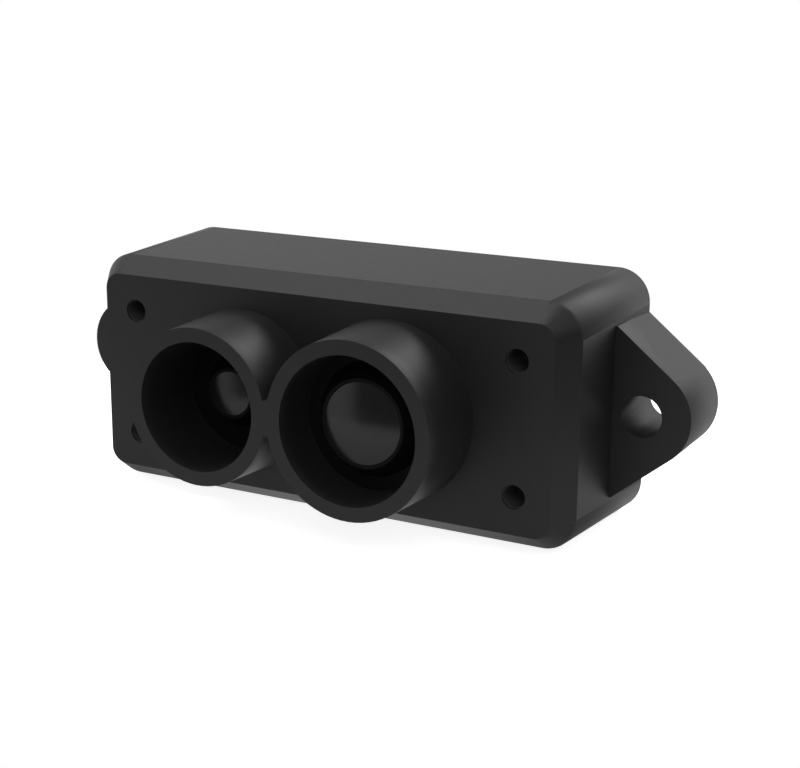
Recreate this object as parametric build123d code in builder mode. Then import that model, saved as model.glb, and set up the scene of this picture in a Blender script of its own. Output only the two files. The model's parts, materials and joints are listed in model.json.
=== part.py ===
from build123d import *
import math
import os

# Compact lidar distance sensor: a moulded housing with two hooded lenses, a circuit board screwed into
# its open back and a mounting ear at each end.
# Frame: origin midway between the two ear holes, on the rear plane of the ears. +X runs from the
# emitter to the receiver, -Y is the way the lenses look and +Z is up. Millimetres throughout.
# A station is a distance forward from that rear plane.

# Housing body, measured where the front bevel starts
body_width = 32.3
body_height = 14.3
body_depth = 11.0
corner_radius = 2.0
wall_thickness = 1.2
front_wall_thickness = 1.3
draft_angle = 2.2
pocket_corner_radius = 0.8

# Bevel round the front face: how far it runs in along the face and back along the sides
bevel_inset = 0.95
bevel_depth = 1.45

# Mounting ears
ear_hole_offset = 1.9
ear_hole_diameter = 2.45
ear_tip_radius = 2.95
ear_root_height = 10.2
ear_root_bite = 0.6
ear_thickness = 5.0

# Hoods and the bores inside them
hood_spacing = 10.0
hood_length = 5.0
web_height = 2.05
web_bite = 0.43
receiver_hood_diameter = 10.36
receiver_bore_diameter = 8.62
receiver_bore_depth = 3.0
emitter_hood_diameter = 9.42
emitter_bore_diameter = 7.7
emitter_bore_depth = 4.8
bore_floor_thickness = 1.0

# Boss on each bore floor, round the lens: a flat lip at the dome's foot and a sloping side below it
boss_lip = 0.15
boss_slope_run = 0.75

# Lenses: a shallow dome on a barrel as long as the boss is high
receiver_lens_diameter = 4.78
receiver_dome_rise = 0.45
receiver_barrel_length = 1.1
receiver_flange_thickness = 0.9
emitter_lens_diameter = 2.67
emitter_dome_rise = 0.2
emitter_barrel_length = 1.2
emitter_flange_thickness = 0.8
lens_clearance = 0.05

# Lens holders
receiver_holder_diameter = 7.8
receiver_holder_wall = 0.9
emitter_holder_diameter = 5.8
emitter_holder_wall = 0.6
holder_clearance = 0.05
seat_ring_wall = 0.7
seat_ring_length = 2.2

# Receiver filter, bonded over the sensor's window
filter_size = 3.4
filter_thickness = 0.5

# Corner posts and their screws
post_inset = 3.25
pilot_hole_diameter = 1.42
post_wall = 0.9
screw_length = 4.0
screw_clearance = 0.04
screw_head_diameter = 2.5
screw_head_height = 0.75
screw_recess_width = 0.3
screw_recess_depth = 0.4
screw_recess_margin = 0.35
board_hole_clearance = 0.15

# Main board
board_thickness = 1.0
board_recess = 3.6
board_clearance = 0.25

# Dividing wall and its foam strip
divider_thickness = 0.9
seal_thickness = 0.4
seal_end_gap = 0.2

# Emitter and receiver packages, each with a sunk window
emitter_diode_size = 3.0
emitter_diode_height = 1.1
emitter_diode_window = 1.8
receiver_sensor_size = 4.0
receiver_sensor_height = 0.9
receiver_sensor_window = 2.6
package_window_depth = 0.15

# Cable socket, with its mouth in the notch of the lower wall
socket_width = 8.0
socket_height = 3.0
socket_depth = 4.4
socket_side_wall = 0.7
socket_top_wall = 0.4
socket_back_wall = 1.0
socket_notch_clearance = 0.4
key_slot_width = 0.9
key_slot_spacing = 4.4
key_slot_length = 2.4
contact_count = 4
contact_pitch = 1.25
contact_size = 0.3
contact_setback = 0.8
contact_tail_gap = 0.35
contact_foot = 0.65
anchor_thickness = 0.25
anchor_height = 1.6
anchor_width = 1.8
anchor_foot = 0.7

# Integrated circuits and their leads
processor_body = 5.0
processor_height = 1.2
processor_center = (-8.2, 0.0)
processor_leads_per_side = 8
processor_lead_pitch = 0.5
processor_lead_width = 0.22
driver_length = 4.9
driver_width = 3.9
driver_height = 1.4
driver_gap = 0.6
driver_z = 2.3
driver_leads_per_side = 4
driver_lead_pitch = 1.27
driver_lead_width = 0.4
regulator_length = 2.9
regulator_width = 1.6
regulator_height = 1.0
regulator_center = (1.9, 3.6)
regulator_leads_per_side = 3
regulator_lead_pitch = 0.95
regulator_lead_width = 0.38
lead_thickness = 0.15
lead_reach = 0.8
lead_foot = 0.4
chip_edge_bevel = 0.12

# Other parts on the board
inductor_size = 4.0
inductor_height = 1.8
inductor_gap = 0.25
inductor_z = -3.4
inductor_corner = 0.8
inductor_core_radius = 1.45
inductor_groove_width = 0.2
inductor_groove_depth = 0.25
tank_length = 3.5
tank_width = 2.8
tank_height = 1.8
tank_edge_gap = 0.9
tank_bevel = 0.2
tank_tab_thickness = 0.15
tank_tab_width = 2.0
tank_tab_height = 0.9
crystal_length = 3.2
crystal_width = 2.5
crystal_base_height = 0.45
crystal_lid_height = 0.3
crystal_lid_inset = 0.2
crystal_center = (-3.2, 3.9)
chip_length = 1.6
chip_width = 0.8
chip_terminal = 0.3
chip_gap = 0.25
chip_row_step = 2.0
chip_row_margin = 1.1
capacitor_height = 0.8
resistor_height = 0.45

# Stations and sizes that follow from the values above
draft_slope = math.tan(math.radians(draft_angle))
shoulder_station = body_depth - bevel_depth
rim_station = body_depth + hood_length
cavity_station = body_depth - front_wall_thickness
board_rear_station = board_recess
board_front_station = board_recess + board_thickness
ear_hole_x = body_width / 2 + ear_hole_offset
receiver_x = hood_spacing / 2
emitter_x = -hood_spacing / 2
post_x = body_width / 2 - post_inset
post_z = body_height / 2 - post_inset
receiver_floor_station = rim_station - receiver_bore_depth
receiver_seat_station = receiver_floor_station - bore_floor_thickness
emitter_floor_station = rim_station - emitter_bore_depth
emitter_seat_station = emitter_floor_station - bore_floor_thickness
receiver_holder_station = receiver_seat_station - receiver_flange_thickness
emitter_holder_station = emitter_seat_station - emitter_flange_thickness
divider_station = board_front_station + seal_thickness
cavity_width = body_width - 2 * wall_thickness
cavity_height = body_height - 2 * wall_thickness
pocket_growth = 2 * (shoulder_station - board_front_station) * draft_slope
rear_growth = 2 * shoulder_station * draft_slope
board_width = cavity_width + pocket_growth - 2 * board_clearance
board_height = cavity_height + pocket_growth - 2 * board_clearance
receiver_ring_radius = receiver_holder_diameter / 2 + holder_clearance + seat_ring_wall
emitter_ring_radius = emitter_holder_diameter / 2 + holder_clearance + seat_ring_wall
divider_x = (emitter_x + emitter_ring_radius + receiver_x - receiver_ring_radius) / 2

# Places on the board's rear face, as (x, z): from its edges, its middle or the part beside them
socket_mouth_z = -board_height / 2
anchor_end_x = socket_width / 2 + anchor_thickness + anchor_foot
tank_center = (board_width / 2 - tank_edge_gap - tank_width / 2, 0)
driver_center = (tank_center[0] - (tank_width + driver_width) / 2 - driver_gap - lead_reach, driver_z)
inductor_center = (anchor_end_x + inductor_gap + inductor_size / 2, inductor_z)
chip_row_z = board_height / 2 - chip_row_margin
chip_row_left_x = processor_center[0] - chip_row_step / 2
chip_row_right_x = processor_center[0] + chip_row_step / 2
capacitor_centers = (
    (-3.4, 1.4),
    (-1.4, 1.4),
    (0.6, 1.1),
    (2.5, 1.1),
    (chip_row_left_x, chip_row_z),
    (chip_row_right_x, chip_row_z),
    (chip_row_left_x, -chip_row_z),
)
resistor_centers = (
    (chip_row_right_x, -chip_row_z),
    (-0.6, chip_row_z),
    (-0.6, 3.2),
    (-3.4, -0.3),
    (3.2, -0.3),
    (inductor_center[0], inductor_z + inductor_size / 2 + chip_gap + chip_width / 2),
)


def section_at(station):
    """Plane square to the optical axes; its local axes are +X and +Z, and it extrudes forward."""
    return Plane.XZ.offset(station)


def optical_axis(axis_x):
    return Axis((axis_x, 0, 0), (0, 1, 0))


def around(axis_x, corners):
    """Half section of a turned form: (radius, station) pairs as points in the XY plane."""
    return [(axis_x + radius, -station) for radius, station in corners]


def drafted_block(width, height, rear_station, front_station, edge_radius):
    """Block with rounded corners that narrows by the draft from the rear; its sizes are the rear ones."""
    with BuildPart() as block:
        with BuildSketch(section_at(rear_station)):
            Rectangle(width, height)
        extrude(amount=front_station - rear_station)
        side_faces = block.faces().group_by(Axis.Y)[1]
        draft(side_faces, neutral_plane=section_at(rear_station), angle=draft_angle)
        fillet(block.edges().group_by(Axis.Y)[1], edge_radius)
    return block.part


def windowed_package(axis_x, size, height, window):
    """Square package on the board's front face, with a shallow sunk window in the middle."""
    with BuildPart() as package:
        with BuildSketch(section_at(board_front_station)):
            with Locations((axis_x, 0)):
                Rectangle(size, size)
        extrude(amount=height)
        with BuildSketch(section_at(board_front_station + height)):
            with Locations((axis_x, 0)):
                Rectangle(window, window)
        extrude(amount=-package_window_depth, mode=Mode.SUBTRACT)
    return package.part


def lens_holder(axis_x, diameter, wall, front_station):
    """Tube from the board's front face to the rear of a lens flange."""
    with BuildPart() as holder:
        with BuildSketch(section_at(board_front_station)):
            with Locations((axis_x, 0)):
                Circle(diameter / 2)
                Circle(diameter / 2 - wall, mode=Mode.SUBTRACT)
        extrude(amount=front_station - board_front_station)
    return holder.part


def symmetric_row(count, pitch):
    """Places of a centred row of equal steps."""
    return [(index - (count - 1) / 2) * pitch for index in range(count)]


def drafted_hood(axis_x, rim_diameter):
    """Hood blank: a cone frustum that widens by the draft from its rim back into the front wall."""
    root_station = cavity_station + front_wall_thickness / 2
    rim_radius = rim_diameter / 2
    root_radius = rim_radius + (rim_station - root_station) * draft_slope
    corners = [(0, root_station), (root_radius, root_station), (rim_radius, rim_station), (0, rim_station)]
    with BuildPart() as blank:
        with BuildSketch(Plane.XY):
            with BuildLine():
                Polyline(*around(axis_x, corners), close=True)
            make_face()
        revolve(axis=optical_axis(axis_x))
    return blank.part


def hood_bore(
    axis_x,
    bore_diameter,
    floor_station,
    barrel_length,
    aperture_radius,
    seat_station,
    seat_radius,
):
    """Cutter for one optical path: bore round the lens boss, lens aperture and the seat behind it."""
    rim_radius = bore_diameter / 2
    floor_radius = rim_radius - (rim_station - floor_station) * draft_slope
    lip_radius = aperture_radius + boss_lip
    corners = [
        (0, rim_station),
        (rim_radius, rim_station),
        (floor_radius, floor_station),
        (lip_radius + boss_slope_run, floor_station),
        (lip_radius, floor_station + barrel_length),
        (aperture_radius, floor_station + barrel_length),
        (aperture_radius, seat_station),
        (seat_radius, seat_station),
        (seat_radius, board_front_station),
        (0, board_front_station),
    ]
    with BuildPart() as cutter:
        with BuildSketch(Plane.XY):
            with BuildLine():
                Polyline(*around(axis_x, corners), close=True)
            make_face()
        revolve(axis=optical_axis(axis_x))
    return cutter.part


def domed_lens(axis_x, diameter, rise, dome_base, seat_station, flange_radius, flange_rear):
    """Moulded lens: a shallow dome on a short barrel, with a flange behind the bore floor."""
    radius = diameter / 2
    corners = [
        (0, dome_base + rise),
        (0, flange_rear),
        (flange_radius, flange_rear),
        (flange_radius, seat_station),
        (radius, seat_station),
        (radius, dome_base),
    ]
    with BuildPart() as lens:
        with BuildSketch(Plane.XY):
            with BuildLine():
                outline = Polyline(*around(axis_x, corners))
                TangentArc(outline @ 0, outline @ 1, tangent=(1, 0))
            make_face()
        revolve(axis=optical_axis(axis_x))
    return lens.part


def board_screw(x, z):
    """Pan-head screw: head with a cross recess on the board's rear face, shank in a corner post."""
    head_radius = screw_head_diameter / 2
    shank_radius = pilot_hole_diameter / 2 - screw_clearance
    tip_station = board_rear_station + screw_length
    head_station = board_rear_station - screw_head_height
    corners = [
        (0, tip_station),
        (shank_radius, tip_station),
        (shank_radius, board_rear_station),
        (head_radius, board_rear_station),
        (head_radius, head_station),
        (0, head_station),
    ]
    with BuildPart() as screw:
        with BuildSketch(Plane.XY.offset(z)):
            with BuildLine():
                Polyline(*around(x, corners), close=True)
            make_face()
        revolve(axis=Axis((x, 0, z), (0, 1, 0)))
        with BuildSketch(section_at(head_station)):
            with Locations((x, z)):
                recess_length = screw_head_diameter - 2 * screw_recess_margin
                Rectangle(recess_length, screw_recess_width)
                Rectangle(screw_recess_width, recess_length)
        extrude(amount=screw_recess_depth, mode=Mode.SUBTRACT)
    return screw.part


def chip_body(center, size_x, size_z, height):
    """Moulded chip package on the board's rear face, with bevelled top edges."""
    with BuildPart() as chip:
        with BuildSketch(section_at(board_rear_station)):
            with Locations(center):
                Rectangle(size_x, size_z)
        extrude(amount=-height)
        chamfer(chip.faces().sort_by(Axis.Y)[-1].edges(), chip_edge_bevel)
    return chip.part


def lead_row(center, body_reach, height, places, lead_width):
    """Gull-wing leads on the +X side of a chip, one at each place along Z."""
    shoulder = height / 2
    half_thickness = lead_thickness / 2
    knee = lead_reach - lead_foot
    profile = [
        (0, shoulder - half_thickness),
        (knee - lead_thickness, shoulder - half_thickness),
        (knee - lead_thickness, 0),
        (lead_reach, 0),
        (lead_reach, lead_thickness),
        (knee, lead_thickness),
        (knee, shoulder + half_thickness),
        (0, shoulder + half_thickness),
    ]
    start_x = center[0] + body_reach
    points = [(start_x + reach, rise - board_rear_station) for reach, rise in profile]
    with BuildPart() as leads:
        for place in places:
            with BuildSketch(Plane.XY.offset(center[1] + place)):
                with BuildLine():
                    Polyline(*points, close=True)
                make_face()
            extrude(amount=lead_width / 2, both=True)
    return leads.part


def chip_axis(center):
    return Axis((center[0], 0, center[1]), (0, 1, 0))


def chip_blocks(centers, length, offset_x, width, height):
    """Small blocks on the board's rear face, one beside each centre at the given offset along X."""
    with BuildPart() as blocks:
        with BuildSketch(section_at(board_rear_station)):
            for x, z in centers:
                with Locations((x + offset_x, z)):
                    Rectangle(length, width)
        extrude(amount=-height)
    return blocks.part


os.makedirs("parts", exist_ok=True)

# Housing: one moulding, drafted so that it leaves its tool towards the front
with BuildPart() as housing:
    add(drafted_block(body_width + rear_growth, body_height + rear_growth, 0, body_depth, corner_radius))
    front_face = housing.faces().sort_by(Axis.Y)[0]
    chamfer(front_face.edges(), length=bevel_inset, length2=bevel_depth, reference=front_face)

    # Ears: the hull of a round tip and a root line inside the side wall
    ear_root_x = body_width / 2 + (shoulder_station - ear_thickness / 2) * draft_slope
    for side in (-1, 1):
        with BuildSketch(section_at(0)):
            with Locations((side * ear_hole_x, 0)):
                Circle(ear_tip_radius)
            with Locations((side * (ear_root_x - ear_root_bite / 2), 0)):
                Rectangle(ear_root_bite, ear_root_height)
            make_hull()
        extrude(amount=ear_thickness)

    # Hoods and the web that joins them up to their rims
    add(drafted_hood(receiver_x, receiver_hood_diameter))
    add(drafted_hood(emitter_x, emitter_hood_diameter))
    emitter_edge_x = emitter_x + emitter_hood_diameter / 2
    receiver_edge_x = receiver_x - receiver_hood_diameter / 2
    web_left = min(emitter_edge_x, receiver_edge_x) - web_bite
    web_right = max(emitter_edge_x, receiver_edge_x) + web_bite
    with BuildSketch(section_at(cavity_station + front_wall_thickness / 2)):
        with Locations(((web_left + web_right) / 2, 0)):
            Rectangle(web_right - web_left, web_height)
    extrude(amount=rim_station - cavity_station - front_wall_thickness / 2)

    # Board pocket, open at the back, and the narrower cavity between the corner posts
    add(
        drafted_block(
            cavity_width + rear_growth,
            cavity_height + rear_growth,
            0,
            board_front_station,
            pocket_corner_radius,
        ),
        mode=Mode.SUBTRACT,
    )
    post_reach = pilot_hole_diameter / 2 + post_wall
    post_block_width = cavity_width / 2 - post_x + post_reach
    post_block_height = cavity_height / 2 - post_z + post_reach
    with BuildSketch(section_at(board_front_station)):
        Rectangle(cavity_width, cavity_height)
        for side in (-1, 1):
            for level in (-1, 1):
                block_x = side * (cavity_width - post_block_width) / 2
                block_z = level * (cavity_height - post_block_height) / 2
                with Locations((block_x, block_z)):
                    Rectangle(post_block_width, post_block_height, mode=Mode.SUBTRACT)
    extrude(amount=cavity_station - board_front_station, mode=Mode.SUBTRACT)

    # Seat rings for the lens holders, and the wall that keeps emitted light from the receiver
    with BuildSketch(section_at(cavity_station)):
        with Locations((receiver_x, 0)):
            Circle(receiver_ring_radius)
        with Locations((emitter_x, 0)):
            Circle(emitter_ring_radius)
    extrude(amount=-seat_ring_length)
    with BuildSketch(section_at(divider_station)):
        with Locations((divider_x, 0)):
            Rectangle(divider_thickness, cavity_height)
    extrude(amount=cavity_station - divider_station)

    # Optical paths
    add(
        hood_bore(
            receiver_x,
            receiver_bore_diameter,
            receiver_floor_station,
            receiver_barrel_length,
            receiver_lens_diameter / 2 + lens_clearance,
            receiver_seat_station,
            receiver_holder_diameter / 2 + holder_clearance,
        ),
        mode=Mode.SUBTRACT,
    )
    add(
        hood_bore(
            emitter_x,
            emitter_bore_diameter,
            emitter_floor_station,
            emitter_barrel_length,
            emitter_lens_diameter / 2 + lens_clearance,
            emitter_seat_station,
            emitter_holder_diameter / 2 + holder_clearance,
        ),
        mode=Mode.SUBTRACT,
    )

    # Screw holes right through the corner posts, and the ear holes
    with BuildSketch(section_at(board_front_station)):
        with GridLocations(2 * post_x, 2 * post_z, 2, 2):
            Circle(pilot_hole_diameter / 2)
    extrude(amount=body_depth - board_front_station, mode=Mode.SUBTRACT)
    with BuildSketch(section_at(0)):
        with GridLocations(2 * ear_hole_x, 0, 2, 1):
            Circle(ear_hole_diameter / 2)
    extrude(amount=ear_thickness, mode=Mode.SUBTRACT)

    # Notch in the lower wall for the cable plug
    notch_top = -cavity_height / 2 + pocket_corner_radius
    notch_bottom = -body_height / 2 - rear_growth
    with BuildSketch(section_at(0)):
        with Locations((0, (notch_top + notch_bottom) / 2)):
            Rectangle(socket_width + 2 * socket_notch_clearance, notch_top - notch_bottom)
    extrude(amount=board_rear_station, mode=Mode.SUBTRACT)
housing.part.label = "housing"
export_step(housing.part, "parts/housing.step")

# Lenses
receiver_lens = domed_lens(
    receiver_x,
    receiver_lens_diameter,
    receiver_dome_rise,
    receiver_floor_station + receiver_barrel_length,
    receiver_seat_station,
    receiver_holder_diameter / 2,
    receiver_holder_station,
)
receiver_lens.label = "receiver_lens"
export_step(receiver_lens, "parts/receiver_lens.step")

emitter_lens = domed_lens(
    emitter_x,
    emitter_lens_diameter,
    emitter_dome_rise,
    emitter_floor_station + emitter_barrel_length,
    emitter_seat_station,
    emitter_holder_diameter / 2,
    emitter_holder_station,
)
emitter_lens.label = "emitter_lens"
export_step(emitter_lens, "parts/emitter_lens.step")

# Lens holders, light source and light sensor, in pairs
receiver_lens_holder = lens_holder(
    receiver_x,
    receiver_holder_diameter,
    receiver_holder_wall,
    receiver_holder_station,
)
receiver_lens_holder.label = "receiver_lens_holder"
export_step(receiver_lens_holder, "parts/receiver_lens_holder.step")

emitter_lens_holder = lens_holder(
    emitter_x,
    emitter_holder_diameter,
    emitter_holder_wall,
    emitter_holder_station,
)
emitter_lens_holder.label = "emitter_lens_holder"
export_step(emitter_lens_holder, "parts/emitter_lens_holder.step")

emitter_diode = windowed_package(emitter_x, emitter_diode_size, emitter_diode_height, emitter_diode_window)
emitter_diode.label = "emitter_diode"
export_step(emitter_diode, "parts/emitter_diode.step")

receiver_sensor = windowed_package(
    receiver_x,
    receiver_sensor_size,
    receiver_sensor_height,
    receiver_sensor_window,
)
receiver_sensor.label = "receiver_sensor"
export_step(receiver_sensor, "parts/receiver_sensor.step")

# Filter glass on the sensor's rim
with BuildPart() as receiver_filter:
    with BuildSketch(section_at(board_front_station + receiver_sensor_height)):
        with Locations((receiver_x, 0)):
            Rectangle(filter_size, filter_size)
    extrude(amount=filter_thickness)
receiver_filter.part.label = "receiver_filter"
export_step(receiver_filter.part, "parts/receiver_filter.step")

# Foam strip between the dividing wall and the board
with BuildPart() as light_seal_strip:
    with BuildSketch(section_at(board_front_station)):
        with Locations((divider_x, 0)):
            Rectangle(divider_thickness, cavity_height - 2 * seal_end_gap)
    extrude(amount=seal_thickness)
light_seal_strip.part.label = "light_seal_strip"
export_step(light_seal_strip.part, "parts/light_seal_strip.step")

# Main board, resting on the four corner posts
with BuildPart() as main_board:
    with BuildSketch(section_at(board_rear_station)):
        RectangleRounded(board_width, board_height, pocket_corner_radius)
        with GridLocations(2 * post_x, 2 * post_z, 2, 2):
            Circle(pilot_hole_diameter / 2 + board_hole_clearance, mode=Mode.SUBTRACT)
    extrude(amount=board_thickness)
main_board.part.label = "main_board"
export_step(main_board.part, "parts/main_board.step")

screw_places = [(post_x, post_z), (-post_x, post_z), (-post_x, -post_z), (post_x, -post_z)]
for number, (screw_x, screw_z) in enumerate(screw_places, start=1):
    screw = board_screw(screw_x, screw_z)
    screw.label = f"board_screw_{number}"
    export_step(screw, f"parts/{screw.label}.step")

# Cable socket, lying on the board's rear face with its mouth at the lower edge
socket_center_z = socket_mouth_z + socket_depth / 2
socket_rear_z = socket_mouth_z + socket_depth
contact_center_height = socket_height / 2
with BuildPart() as cable_socket:
    with BuildSketch(section_at(board_rear_station)):
        with Locations((0, socket_center_z)):
            Rectangle(socket_width, socket_depth)
    extrude(amount=-socket_height)
    mouth_plane = Plane((0, -board_rear_station, socket_mouth_z), x_dir=(1, 0, 0), z_dir=(0, 0, 1))
    with BuildSketch(mouth_plane):
        with Locations((0, contact_center_height)):
            Rectangle(socket_width - 2 * socket_side_wall, socket_height - 2 * socket_top_wall)
    extrude(amount=socket_depth - socket_back_wall, mode=Mode.SUBTRACT)
    with BuildSketch(mouth_plane):
        with Locations((0, socket_height - socket_top_wall / 2)):
            with GridLocations(key_slot_spacing, 0, 2, 1):
                Rectangle(key_slot_width, socket_top_wall)
    extrude(amount=key_slot_length, mode=Mode.SUBTRACT)
    with BuildSketch(mouth_plane):
        with Locations((0, contact_center_height)):
            with GridLocations(contact_pitch, 0, contact_count, 1):
                Rectangle(contact_size, contact_size)
    extrude(amount=socket_depth, mode=Mode.SUBTRACT)
cable_socket.part.label = "cable_socket"
export_step(cable_socket.part, "parts/cable_socket.step")

# Socket contacts: square pins through the back wall, bent down to feet on the board
with BuildPart() as socket_contacts:
    pin_low = contact_center_height - contact_size / 2
    pin_high = contact_center_height + contact_size / 2
    bend_z = socket_rear_z + contact_tail_gap
    contact_outline = [
        (pin_low, socket_mouth_z + contact_setback),
        (pin_low, bend_z),
        (0, bend_z),
        (0, bend_z + contact_size + contact_foot),
        (contact_size, bend_z + contact_size + contact_foot),
        (contact_size, bend_z + contact_size),
        (pin_high, bend_z + contact_size),
        (pin_high, socket_mouth_z + contact_setback),
    ]
    for contact_x in symmetric_row(contact_count, contact_pitch):
        with BuildSketch(Plane.YZ.offset(contact_x)):
            with BuildLine():
                Polyline(*[(rise - board_rear_station, z) for rise, z in contact_outline], close=True)
            make_face()
        extrude(amount=contact_size / 2, both=True)
socket_contacts.part.label = "socket_contacts"
export_step(socket_contacts.part, "parts/socket_contacts.step")

# Anchor tabs: bent metal at both ends of the socket, soldered to the board
with BuildPart() as socket_anchor_tabs:
    tab_outline = [
        (socket_width / 2, 0),
        (anchor_end_x, 0),
        (anchor_end_x, anchor_thickness),
        (socket_width / 2 + anchor_thickness, anchor_thickness),
        (socket_width / 2 + anchor_thickness, anchor_height),
        (socket_width / 2, anchor_height),
    ]
    for side in (-1, 1):
        with BuildSketch(Plane.XY.offset(socket_center_z)):
            with BuildLine():
                Polyline(*[(side * x, rise - board_rear_station) for x, rise in tab_outline], close=True)
            make_face()
        extrude(amount=anchor_width / 2, both=True)
socket_anchor_tabs.part.label = "socket_anchor_tabs"
export_step(socket_anchor_tabs.part, "parts/socket_anchor_tabs.step")

# Processor with leads on all four sides
processor_chip = chip_body(processor_center, processor_body, processor_body, processor_height)
processor_chip.label = "processor_chip"
export_step(processor_chip, "parts/processor_chip.step")

processor_row = lead_row(
    processor_center,
    processor_body / 2,
    processor_height,
    symmetric_row(processor_leads_per_side, processor_lead_pitch),
    processor_lead_width,
)
with BuildPart() as processor_leads:
    for turn in (0, 90, 180, 270):
        add(processor_row.rotate(chip_axis(processor_center), turn))
processor_leads.part.label = "processor_leads"
export_step(processor_leads.part, "parts/processor_leads.step")

# Driver with leads on its two long sides
driver_chip = chip_body(driver_center, driver_width, driver_length, driver_height)
driver_chip.label = "driver_chip"
export_step(driver_chip, "parts/driver_chip.step")

driver_row = lead_row(
    driver_center,
    driver_width / 2,
    driver_height,
    symmetric_row(driver_leads_per_side, driver_lead_pitch),
    driver_lead_width,
)
with BuildPart() as driver_leads:
    for turn in (0, 180):
        add(driver_row.rotate(chip_axis(driver_center), turn))
driver_leads.part.label = "driver_leads"
export_step(driver_leads.part, "parts/driver_leads.step")

# Voltage regulator: three leads on one long side and the outer two on the other
voltage_regulator = chip_body(regulator_center, regulator_length, regulator_width, regulator_height)
voltage_regulator.label = "voltage_regulator"
export_step(voltage_regulator, "parts/voltage_regulator.step")

regulator_places = symmetric_row(regulator_leads_per_side, regulator_lead_pitch)
regulator_rows = {90: regulator_places, 270: [regulator_places[0], regulator_places[-1]]}
with BuildPart() as regulator_leads:
    for turn, places in regulator_rows.items():
        row = lead_row(regulator_center, regulator_width / 2, regulator_height, places, regulator_lead_width)
        add(row.rotate(chip_axis(regulator_center), turn))
regulator_leads.part.label = "regulator_leads"
export_step(regulator_leads.part, "parts/regulator_leads.step")

# Power inductor: a block with cut corners and a ring groove round its core
with BuildPart() as power_inductor:
    with BuildSketch(section_at(board_rear_station)) as inductor_outline:
        with Locations(inductor_center):
            Rectangle(inductor_size, inductor_size)
        chamfer(inductor_outline.vertices(), inductor_corner)
    extrude(amount=-inductor_height)
    with BuildSketch(section_at(board_rear_station - inductor_height)):
        with Locations(inductor_center):
            Circle(inductor_core_radius + inductor_groove_width)
            Circle(inductor_core_radius, mode=Mode.SUBTRACT)
    extrude(amount=inductor_groove_depth, mode=Mode.SUBTRACT)
power_inductor.part.label = "power_inductor"
export_step(power_inductor.part, "parts/power_inductor.step")

# Supply capacitor: a moulded block between two metal tabs
with BuildPart() as supply_capacitor:
    with BuildSketch(section_at(board_rear_station)):
        with Locations(tank_center):
            Rectangle(tank_width, tank_length - 2 * tank_tab_thickness)
    extrude(amount=-tank_height)
    chamfer(supply_capacitor.faces().sort_by(Axis.Y)[-1].edges(), tank_bevel)
supply_capacitor.part.label = "supply_capacitor"
export_step(supply_capacitor.part, "parts/supply_capacitor.step")

with BuildPart() as supply_capacitor_tabs:
    with BuildSketch(section_at(board_rear_station)):
        with Locations(tank_center):
            with GridLocations(0, tank_length - tank_tab_thickness, 1, 2):
                Rectangle(tank_tab_width, tank_tab_thickness)
    extrude(amount=-tank_tab_height)
supply_capacitor_tabs.part.label = "supply_capacitor_tabs"
export_step(supply_capacitor_tabs.part, "parts/supply_capacitor_tabs.step")

# Crystal: a ceramic base with a smaller metal lid
with BuildPart() as crystal_can:
    with BuildSketch(section_at(board_rear_station)):
        with Locations(crystal_center):
            Rectangle(crystal_length, crystal_width)
    extrude(amount=-crystal_base_height)
    with BuildSketch(section_at(board_rear_station - crystal_base_height)):
        with Locations(crystal_center):
            Rectangle(crystal_length - 2 * crystal_lid_inset, crystal_width - 2 * crystal_lid_inset)
    extrude(amount=-crystal_lid_height)
crystal_can.part.label = "crystal_can"
export_step(crystal_can.part, "parts/crystal_can.step")

# Small chip parts: a body between two end terminals
chip_middle = chip_length - 2 * chip_terminal
terminal_offset = (chip_length - chip_terminal) / 2

ceramic_capacitors = chip_blocks(capacitor_centers, chip_middle, 0, chip_width, capacitor_height)
ceramic_capacitors.label = "ceramic_capacitors"
export_step(ceramic_capacitors, "parts/ceramic_capacitors.step")

chip_resistors = chip_blocks(resistor_centers, chip_middle, 0, chip_width, resistor_height)
chip_resistors.label = "chip_resistors"
export_step(chip_resistors, "parts/chip_resistors.step")

with BuildPart() as chip_terminals:
    for offset_x in (-terminal_offset, terminal_offset):
        add(chip_blocks(capacitor_centers, chip_terminal, offset_x, chip_width, capacitor_height))
        add(chip_blocks(resistor_centers, chip_terminal, offset_x, chip_width, resistor_height))
chip_terminals.part.label = "chip_terminals"
export_step(chip_terminals.part, "parts/chip_terminals.step")
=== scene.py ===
import json
import math

import bmesh
import bpy
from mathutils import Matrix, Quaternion, Vector


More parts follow.
